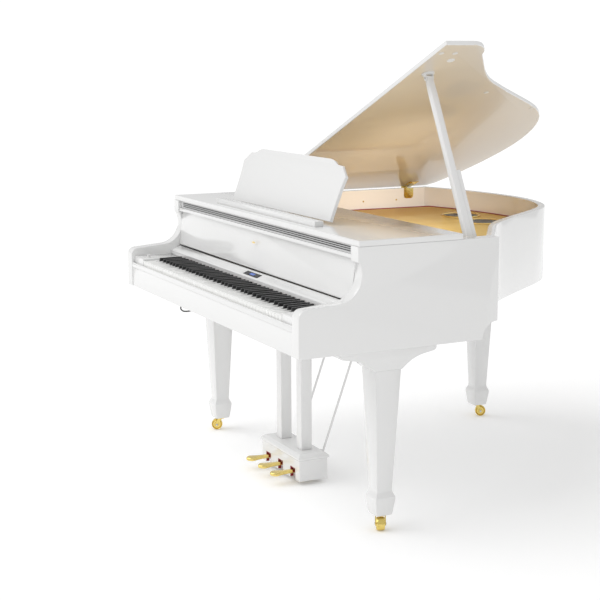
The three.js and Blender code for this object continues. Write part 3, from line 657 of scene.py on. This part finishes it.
groups = {
    "Bass": (range(0, keySettings["middle"][0]), "naturals_bass", "sharps_bass"),
    "MiddleC": ([keySettings["middle"][0]], "natural_c", "sharp_c"),
    "MiddleD": ([keySettings["middle"][1]], "natural_d", "sharp_d"),
    "Treble": (range(keySettings["middle"][1] + 1, keySettings["count"]), "naturals_treble", "sharps_treble"),
}
for label, (notes, whiteNode, blackNode) in groups.items():
    whites, blacks = bmesh.new(), bmesh.new()
    for i in notes:
        addNatural(whites, i)
        if sharpCentre(i) is not None:
            addSharp(blacks, i)
    makePiece("whiteKeys" + label, whites, whiteNode, "white_key", keyWhite, leverWood, replaces=[whiteNode])
    makePiece("blackKeys" + label, blacks, blackNode, "black_key", keyBlack, leverWood, replaces=[blackNode])
print("keys made")


# trim round the keyboard
trimSettings = {
    "feltHeight": 0.003,
    "feltDepth": 0.0035,
    "feltGap": 0.001,
    "markLength": 0.009,
    "markWidth": 0.0022,
    "markPitch": 0.021,
    "markRise": 0.00015,
    "markRuns": ((-0.46, 17), (0.15, 13)),  # left end and number of each row
}
keyRight = keyLeft + keyPitch * keySettings["count"]
feltFoot = keysHigh.z + trimSettings["feltGap"]
bm = bmesh.new()
addBlock(bm, (keyLeft, panelLow.y - trimSettings["feltDepth"], feltFoot),
         (keyRight, panelLow.y + 0.0005, feltFoot + trimSettings["feltHeight"]), 0.0008)
makePiece("nameboardFelt", bm, "case", "speaker", redFelt)

slipLow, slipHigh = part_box("key_slip")
# painted shade: a grey sheet fills the gap between the key slip and the key fronts, standing in for the shade
# there
bm = bmesh.new()
addBlock(bm, (keyLeft, slipHigh.y + 0.0002, slipLow.z),
         (keyRight, keysLow.y + 0.0008, keysLow.z - trimSettings["feltGap"]), 0.0003, 1)
makePiece("keyFrontFelt", bm, "case", "speaker", gapShadeSheet)

windowLow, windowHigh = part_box("display_window")
panelSlope = {"lip": 0.006, "drop": 0.012}  # flat in front of the sloped face, and the fall of that face
slopeRun = panelHigh.y - panelLow.y - panelSlope["lip"]
slope = math.atan2(panelSlope["drop"], slopeRun)
slopeFoot = Vector((0, panelLow.y + panelSlope["lip"], panelHigh.z - panelSlope["drop"]))
slopePlace = Matrix.Translation(slopeFoot) @ Matrix.Rotation(slope, 4, "X")
slopeDepth = math.hypot(slopeRun, panelSlope["drop"])

bm = bmesh.new()  # touch marks: rows of small bars printed either side of the display
for start, count in trimSettings["markRuns"]:
    for n in range(count):
        if n % 6 == 5:
            continue
        x = start + n * trimSettings["markPitch"]
        for row, length in ((0.62, trimSettings["markLength"]), (0.34, trimSettings["markLength"] * 0.55)):
            y, markHalf = slopeDepth * row, trimSettings["markWidth"] / 2
            addBlock(bm, (x - length / 2, y - markHalf, -sunk),
                     (x + length / 2, y + markHalf, trimSettings["markRise"]), 0, at=slopePlace)
makePiece("panelMarks", bm, "case", "display", panelInk)

windowSettings = {"frame": 0.004, "frameDeep": 0.003, "rise": 0.0006, "halfDepth": 0.0106}
middle = (windowLow + windowHigh) / 2
glassPlace = Matrix.Translation((middle.x, 0, 0)) @ slopePlace
centreY = (middle.y - slopeFoot.y) / math.cos(slope)
halfX, halfY = (windowHigh.x - windowLow.x) / 2, windowSettings["halfDepth"]
bm = bmesh.new()
addBlock(bm, (-halfX, centreY - halfY, -2 * sunk), (halfX, centreY + halfY, windowSettings["rise"]),
         0.0005, at=glassPlace)
pictureX, pictureY = halfX - windowSettings["frame"], halfY - windowSettings["frameDeep"]
addBlock(bm, (-pictureX, centreY - pictureY, -sunk),
         (pictureX, centreY + pictureY, windowSettings["rise"] + 0.0002), 0.0002, 1, index=1, at=glassPlace)
makePiece("displayGlass", bm, "case", "display", windowGlass, picture, replaces=["display_window"])

knobSettings = {"ribs": 24, "ribDepth": 0.0004, "markHalf": 0.0004}
low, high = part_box("volume_knob")
centre, radius, height = (low + high) / 2, (high.x - low.x) / 2, high.z - low.z
bm = bmesh.new()
skirt = [(0, 0), (1, 0), (1, 0.12), (0.9, 0.16), (0.9, 0.8), (0.82, 0.94), (0.66, 1), (0.6, 0.96), (0, 0.95)]
addSpun(bm, [(radius * r, height * z) for r, z in skirt], placeAt((centre.x, centre.y, low.z)), 48)
for vert in bm.verts:  # fine grip ribs round the skirt
    out = Vector((vert.co.x - centre.x, vert.co.y - centre.y))
    if out.length > radius * 0.85 and vert.co.z > low.z + height * 0.14:
        turn = math.atan2(out.y, out.x)
        pull = 1 - knobSettings["ribDepth"] / radius * (1 + math.cos(knobSettings["ribs"] * turn)) / 2
        vert.co.x, vert.co.y = centre.x + out.x * pull, centre.y + out.y * pull
markHalf = knobSettings["markHalf"]
addBlock(bm, (centre.x - markHalf, centre.y + radius * 0.3, high.z - height * 0.06),
         (centre.x + markHalf, centre.y + radius * 0.62, high.z), 0.0001, 1, index=1)
makePiece("volumeKnob", bm, "volume_knob", "white_plastic", whitePlastic, panelInk, replaces=["volume_knob"])

fallLow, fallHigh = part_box("fallboard")
inlaySettings = {"height": 0.008, "length": 0.034, "rise": 0.72}
bm = bmesh.new()  # a plain gold lozenge let into the fallboard
inlayZ = fallLow.z + (fallHigh.z - fallLow.z) * inlaySettings["rise"]
inlayPlace = Matrix.Translation((0, fallLow.y, inlayZ)) @ Matrix.Rotation(radians(90), 4, "X")
length, tall = inlaySettings["length"] / 2, inlaySettings["height"] / 2
addPlate(bm, [(-length, 0), (0, -tall), (length, 0), (0, tall)], -sunk, 0.0003, inlayPlace, 0.0001, 1)
makePiece("fallInlay", bm, "fallboard", "brass", goldRing)

bm = bmesh.new()  # pins that the fallboard turns on, one in each side
for side in (-1, 1):
    end = fallHigh.x * side
    middleY = (fallLow.y + fallHigh.y) / 2
    addSpun(bm, [(0, -sunk), (0.004, -sunk), (0.004, 0.0008), (0.003, 0.0013), (0, 0.0013)],
            placeAt((end, middleY, joints["fallboard_hinge"]["pos_m"][2]), (side, 0, 0)), 20)
makePiece("fallPins", bm, "fallboard", "brass", brass)

louvreLow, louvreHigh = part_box("louvre")
bm = bmesh.new()
clothSettings = {"inset": 0.004, "gap": 0.0002, "thickness": 0.002}
clothInset, clothFront = clothSettings["inset"], louvreHigh.y + clothSettings["gap"]
addBlock(bm, (louvreLow.x + clothInset, clothFront, louvreLow.z + 0.001),
         (louvreHigh.x - clothInset, clothFront + clothSettings["thickness"], louvreHigh.z - 0.0005), 0.0004)
makePiece("louvreCloth", bm, "case", "speaker", grilleCloth)
print("keyboard trim made")


# inside the case: felt round the soundboard, speakers, wall buttons
boardSettings = {"feltWidth": 0.007, "feltHeight": 0.003}
source = frame["nodes"]["soundboard"].data
bm = bmesh.new()
bm.from_mesh(source)
bmesh.ops.remove_doubles(bm, verts=bm.verts, dist=2e-5)
soundTop = max(vert.co.z for vert in bm.verts)
below = [face for face in bm.faces if face.normal.z < 0.9 or face.calc_center_median().z < soundTop - 1e-4]
bmesh.ops.delete(bm, geom=below, context="FACES")
inset = bmesh.ops.inset_region(bm, faces=list(bm.faces), thickness=boardSettings["feltWidth"], depth=0,
                               use_even_offset=True, use_boundary=True)
keep = set(inset["faces"])
bmesh.ops.delete(bm, geom=[face for face in bm.faces if face not in keep], context="FACES")
bmesh.ops.translate(bm, verts=bm.verts, vec=(0, 0, 0.0002))
grown = bmesh.ops.extrude_face_region(bm, geom=list(bm.faces), use_keep_orig=True)
bmesh.ops.translate(bm, verts=vertsOf(grown), vec=(0, 0, boardSettings["feltHeight"]))
makePiece("soundboardFelt", bm, "case", "speaker", redFelt, smoothAngle=50)


speakerSettings = {"screws": 6, "ringMiddle": 0.955}


def addSpeaker(name, nodeName):
    low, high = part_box(nodeName)
    radius, tall = (high.x - low.x) / 2, high.z - low.z
    place = placeAt(((low.x + high.x) / 2, (low.y + high.y) / 2, low.z))
    bm = bmesh.new()
    ring = [(0.86, 0), (1, 0), (1, 0.35), (0.985, 0.62), (0.95, 0.8), (0.92, 0.72), (0.9, 0.4), (0.86, 0.3),
            (0.86, 0)]
    addSpun(bm, [(radius * r, tall * z) for r, z in ring], place, 72)
    dome = [(0, 0.1), (0.895, 0.1), (0.895, 0.3), (0.8, 0.46), (0.6, 0.56), (0.3, 0.64), (0, 0.66)]
    addSpun(bm, [(radius * r, tall * z) for r, z in dome], place, 72, index=1)
    screws, ringMiddle = speakerSettings["screws"], radius * speakerSettings["ringMiddle"]
    for k in range(screws):
        turn = 2 * math.pi * (k + 0.5) / screws
        point = place @ Vector((ringMiddle * math.cos(turn), ringMiddle * math.sin(turn), tall * 0.78))
        addScrew(bm, point, (0, 0, 1), 0.0022, 0.0009, 2)
    makePiece(name, bm, "case", "speaker", goldRing, grille, brass, replaces=[nodeName])


addSpeaker("speakerLeft", "speaker_left")
addSpeaker("speakerRight", "speaker_right")

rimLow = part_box("bent_rim")[0]
buttonSettings = {"places": (-0.02, 0.14, 0.30, 0.46), "rimThickness": 0.026, "rise": 0.034}
bm = bmesh.new()  # brass buttons on the bass wall, over the soundboard
for y in buttonSettings["places"]:
    addSpun(bm, [(0, -0.0005), (0.0035, -0.0005), (0.0035, 0.0008), (0.0026, 0.002), (0, 0.0026)],
            placeAt((rimLow.x + buttonSettings["rimThickness"], y, soundTop + buttonSettings["rise"]),
                    (1, 0, 0)), 24)
makePiece("wallButtons", bm, "case", "brass", brass)
print("inside made")


# lid fittings: hinge screws, pads, rings for the two props
lidSettings = {
    "padRadius": 0.009,
    "padHeight": 0.0018,
    "padPlaces": ((1.444, -0.099), (0.934, 0.539), (1.10, 0.235), (1.444, -0.15)),
    "ringShift": 0.11,
    "ringPlace": -0.082,
    "screwRows": (0.036, 0.010),
    "screwHalf": 0.015,
    "screwHeights": (0.010, 0.034),
    "leafThickness": 0.0019,
    "earHalf": 0.0145,
}
lidInverse = lidPlace.inverted()
propJoint = joints["prop_fold"]
pivot = lidInverse @ Vector(propJoint["pos_m"])
lidUnder = -0.0017  # underside of the lid in its own frame


def lidPoint(x, y):
    return lidPlace @ Vector((x, y, lidUnder))


bm = bmesh.new()
padRadius, padHeight = lidSettings["padRadius"], lidSettings["padHeight"]
for x, y in lidSettings["padPlaces"]:
    addSpun(bm, [(0, -sunk), (padRadius, -sunk), (padRadius, padHeight * 0.7), (padRadius * 0.8, padHeight),
                 (0, padHeight)],
            placeAt(lidPoint(x, y), lidDown), 28)
makePiece("lidPads", bm, "lid", "white_plastic", bumperRubber)

bm = bmesh.new()  # ring that takes the short prop
addSpun(bm, [(0, -sunk), (0.013, -sunk), (0.013, 0.0012), (0.0115, 0.0022), (0.0095, 0.0022),
             (0.0085, 0.0008), (0, 0.0008)],
        placeAt(lidPoint(pivot.x + lidSettings["ringShift"], lidSettings["ringPlace"]), lidDown), 32)
addSpun(bm, [(0.0195, 0.0036), (0.0218, 0.0036), (0.0218, -sunk), (0.0195, -sunk), (0.0195, 0.0036)],
        placeAt(lidPoint(pivot.x, pivot.y), lidDown), 40)
makePiece("propRings", bm, "lid", "white_plastic", whitePlastic)

bm, lower = bmesh.new(), bmesh.new()
rows, screwHalf = lidSettings["screwRows"], lidSettings["screwHalf"]
for place in ("front", "rear"):
    low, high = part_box(f"lid_hinge_{place}_upper")
    middleY = (low.y + high.y) / 2
    reach = (high.x - lidJoint["pos_m"][0]) / math.cos(radians(lidJoint["range_deg"][0]))
    leafFace = lidUnder - lidSettings["leafThickness"]
    for row in rows:
        for y in (middleY - screwHalf, middleY + screwHalf):
            addScrew(bm, lidPlace @ Vector((reach - row, y, leafFace)), lidDown)
    low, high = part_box(f"lid_hinge_{place}_lower")
    for height in lidSettings["screwHeights"]:
        for y in (middleY - screwHalf, middleY + screwHalf):
            addScrew(lower, (high.x, y, low.z + height), (1, 0, 0))
makePiece("hingeScrewsUpper", bm, "lid", "brass", brassWheel)
makePiece("hingeScrewsLower", lower, "case", "brass", brassWheel)

shortJoint = joints["short_prop_fold"]
bm = bmesh.new()  # rivet that the short prop turns on, and the pin of the long one
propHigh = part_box("prop_short")[1]
point = Vector(shortJoint["pos_m"])
addSpun(bm, [(0, -sunk), (0.005, -sunk), (0.0045, 0.0012), (0, 0.002)],
        placeAt((point.x, propHigh.y, point.z), (0, 1, 0)), 24)
makePiece("shortPropRivet", bm, "short_prop", "brass", steelPin)
ear = Vector(propJoint["pos_m"])
bm = bmesh.new()
for side in (-1, 1):
    addSpun(bm, [(0, -sunk), (0.004, -sunk), (0.0035, 0.0010), (0, 0.0016)],
            placeAt((ear.x, ear.y + side * lidSettings["earHalf"], ear.z), (0, side, 0)), 20)
makePiece("propPin", bm, "lid", "brass", steelPin)

plateLow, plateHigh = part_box("prop_foot_plate")
bm = bmesh.new()
for y in (plateLow.y + 0.010, plateHigh.y - 0.010):
    for z in (plateLow.z + 0.012, plateHigh.z - 0.010):
        addScrew(bm, (plateHigh.x - 0.003, y, z), (-1, 0, 0), 0.004)
makePiece("footPlateScrews", bm, "case", "brass", brassWheel)
print("lid fittings made")


# pedals: cast brass with a rounded spoon end and a crowned top
pedalSettings = {"toe": 0.021, "waist": 0.010, "nib": 0.006, "edge": 0.0046, "neck": 0.05, "lap": 0.004}


def addPedal(name, nodeName):
    low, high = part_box(nodeName)
    centre = (low.x + high.x) / 2
    toe, waist = pedalSettings["toe"], pedalSettings["waist"]
    lap, neck = pedalSettings["lap"], pedalSettings["neck"]
    tipY = low.y + toe + pedalSettings["nib"] - lap
    turns = [radians(-100 + 200 * k / 20) for k in range(21)]
    nose = [(centre + toe * math.sin(t) * (1 - 0.25 * max(0, math.cos(t)) ** 3),
             tipY - (toe + 0.002) * math.cos(t) * 0.9) for t in turns]
    right = [(centre + waist + (toe - waist) * (1 - s) ** 2, tipY + lap + s * neck)
             for s in (0.25, 0.5, 0.75, 1.0)]
    left = [(2 * centre - x, y) for x, y in reversed(right)]
    outline = nose + right + [(centre + waist, high.y), (centre - waist, high.y)] + left
    bm = bmesh.new()
    addPlate(bm, outline, low.z, high.z, Matrix.Identity(4), pedalSettings["edge"], 4)
    makePiece(name, bm, nodeName, "brass", brass, smoothAngle=60, replaces=[nodeName])


for label in ("soft", "sostenuto", "damper"):
    addPedal("pedal" + label.capitalize(), "pedal_" + label)

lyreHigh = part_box("lyre_box")[1]
notchSettings = {"half": 0.020, "low": 0.017, "high": 0.056, "felt": 0.003, "depth": 0.012, "reach": 0.082}
boxFront = joints["pedal_soft_press"]["pos_m"][1] - notchSettings["reach"]
feltFront, feltBack = boxFront + 0.0004, boxFront + notchSettings["depth"]
bm = bmesh.new()  # felt round each pedal's notch
for label in ("soft", "sostenuto", "damper"):
    x = joints[f"pedal_{label}_press"]["pos_m"][0]
    half, thick, top = notchSettings["half"], notchSettings["felt"], notchSettings["high"]
    for side in (-1, 1):
        inner = x + side * (half - thick)
        outer = x + side * (half + 0.0002)
        addBlock(bm, (min(inner, outer), feltFront, notchSettings["low"]), (max(inner, outer), feltBack, top),
                 0.0004, 1)
    addBlock(bm, (x - half + thick, feltFront, top - thick), (x + half - thick, feltBack, top), 0.0004, 1)
makePiece("pedalNotchFelt", bm, "case", "speaker", redFelt)

staySettings = {"half": 0.0065, "low": 0.088, "high": 0.104, "rod": 0.0045}
bm = bmesh.new()  # small blocks that tie the stays to the lyre, and cups where they meet the case
for side in ("left", "right"):
    low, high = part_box("lyre_stay_" + side)
    x, half = (low.x + high.x) / 2, staySettings["half"]
    addBlock(bm, (x - half, lyreHigh.y - 0.006, staySettings["low"]),
             (x + half, low.y + 0.003, staySettings["high"]), 0.001)
    addSpun(bm, [(0.0042, 0), (0.009, 0), (0.009, 0.002), (0.006, 0.005), (0.0042, 0.006), (0.0042, 0)],
            placeAt((x, high.y - staySettings["rod"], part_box("key_bed")[0].z - 0.0001), (0, 0, -1)), 24)
makePiece("stayCups", bm, "case", "lacquer", whiteLacquer)
print("pedals made")


# casters: turned brass wheels with a crowned tread and a hub boss
wheelSettings = {"crown": 0.0016, "hub": 0.008, "half": 0.013, "axleEnd": 0.0172}
for place in ("front_left", "front_right", "rear"):
    joint = joints["caster_spin_" + place]
    centre, axis = Vector(joint["pos_m"]), Vector(joint["axis"])
    radius, half = centre.z, wheelSettings["half"]
    crown, hub = wheelSettings["crown"], wheelSettings["hub"]
    profile = [(0.0029, -half * 0.9), (hub, -half * 0.9), (hub + 0.001, -half * 0.6),
               (radius * 0.7, -half * 0.6), (radius * 0.78, -half * 0.85), (radius - crown * 1.4, -half),
               (radius - crown * 0.5, -half * 0.8),
               (radius - 0.0001, -half * 0.4), (radius, 0)]
    profile += [(r, -h) for r, h in reversed(profile[:-1])]
    profile.append(profile[0])
    bm = bmesh.new()
    addSpun(bm, profile, placeAt(centre, axis), 56)
    label, wheelNode = place.title().replace("_", ""), "caster_wheel_" + place
    makePiece("wheel" + label, bm, wheelNode, "brass", brassWheel, replaces=[wheelNode])
    bm = bmesh.new()
    for side in (-1, 1):
        addSpun(bm, [(0, -sunk), (0.0042, -sunk), (0.0042, 0.001), (0.003, 0.0018), (0, 0.002)],
                placeAt(centre + axis * side * wheelSettings["axleEnd"], axis * side), 20)
    makePiece("axleEnds" + label, bm, "caster_fork_" + place, "brass", steelPin)
print("casters made")


# studio: a pale floor and soft light
studioSettings = {
    "floor": 60,
    "floorColor": (0.95, 0.95, 0.95, 1),
    "floorGlow": 0.14,
    "sky": 0.68,
    "backdrop": 1.05,
    "sun": {"strength": 1.2, "spread": 60, "from": (-0.45, -1.0, 1.2)},
    "fill": {
        "place": (0.42, 0.0, 1.14),
        "target": (-0.6, 0.3, 0.86),
        "size": (0.3, 0.2),
        "spread": 60,
        "power": 1.0,
    },
}
bm = bmesh.new()
bmesh.ops.create_circle(bm, cap_ends=True, segments=96, radius=studioSettings["floor"])
floorMesh = bpy.data.meshes.new("floor")
bm.to_mesh(floorMesh)
bm.free()
floor = bpy.data.objects.new("floor", floorMesh)
scene.collection.objects.link(floor)
floorMaterial, _, floorShader = newMaterial("studioFloor", Roughness=0.8, Specular_IOR_Level=0.0)
floorShader.inputs["Base Color"].default_value = studioSettings["floorColor"]
floorShader.inputs["Emission Color"].default_value = studioSettings["floorColor"]
floorShader.inputs["Emission Strength"].default_value = studioSettings["floorGlow"]
floorMesh.materials.append(floorMaterial)

world = bpy.data.worlds.new("studio")
world.use_nodes = True
scene.world = world
tree = world.node_tree
background = tree.nodes["Background"]
background.inputs["Color"].default_value = (1, 1, 1, 1)
background.inputs["Strength"].default_value = studioSettings["sky"]
bright = addNode(
    tree, "ShaderNodeBackground", {"Color": (1, 1, 1, 1), "Strength": studioSettings["backdrop"]})
seen = addNode(tree, "ShaderNodeLightPath")
mixed = addNode(tree, "ShaderNodeMixShader")
tree.links.new(seen.outputs["Is Camera Ray"], mixed.inputs["Fac"])
tree.links.new(background.outputs["Background"], mixed.inputs[1])
tree.links.new(bright.outputs["Background"], mixed.inputs[2])
tree.links.new(mixed.outputs["Shader"], tree.nodes["World Output"].inputs["Surface"])


def addLight(name, kind, place, target, energy):
    data = bpy.data.lights.new(name, kind)
    data.energy = energy
    light = bpy.data.objects.new(name, data)
    scene.collection.objects.link(light)
    light.location = place
    light.rotation_euler = (Vector(target) - Vector(place)).to_track_quat("-Z", "Y").to_euler()
    return light, data


sunSettings = studioSettings["sun"]
sunData = addLight("sun", "SUN", sunSettings["from"], (0, 0, 0), sunSettings["strength"])[1]
sunData.angle = radians(sunSettings["spread"])
fillSettings = studioSettings["fill"]
fill, fillData = addLight(
    "fill", "AREA", fillSettings["place"], fillSettings["target"], fillSettings["power"])
fillData.shape = "RECTANGLE"
fillData.size, fillData.size_y = fillSettings["size"]
fillData.spread = radians(fillSettings["spread"])
fill.visible_camera = False
fill.visible_glossy = False
scene.view_settings.view_transform = "Standard"
print("studio set")
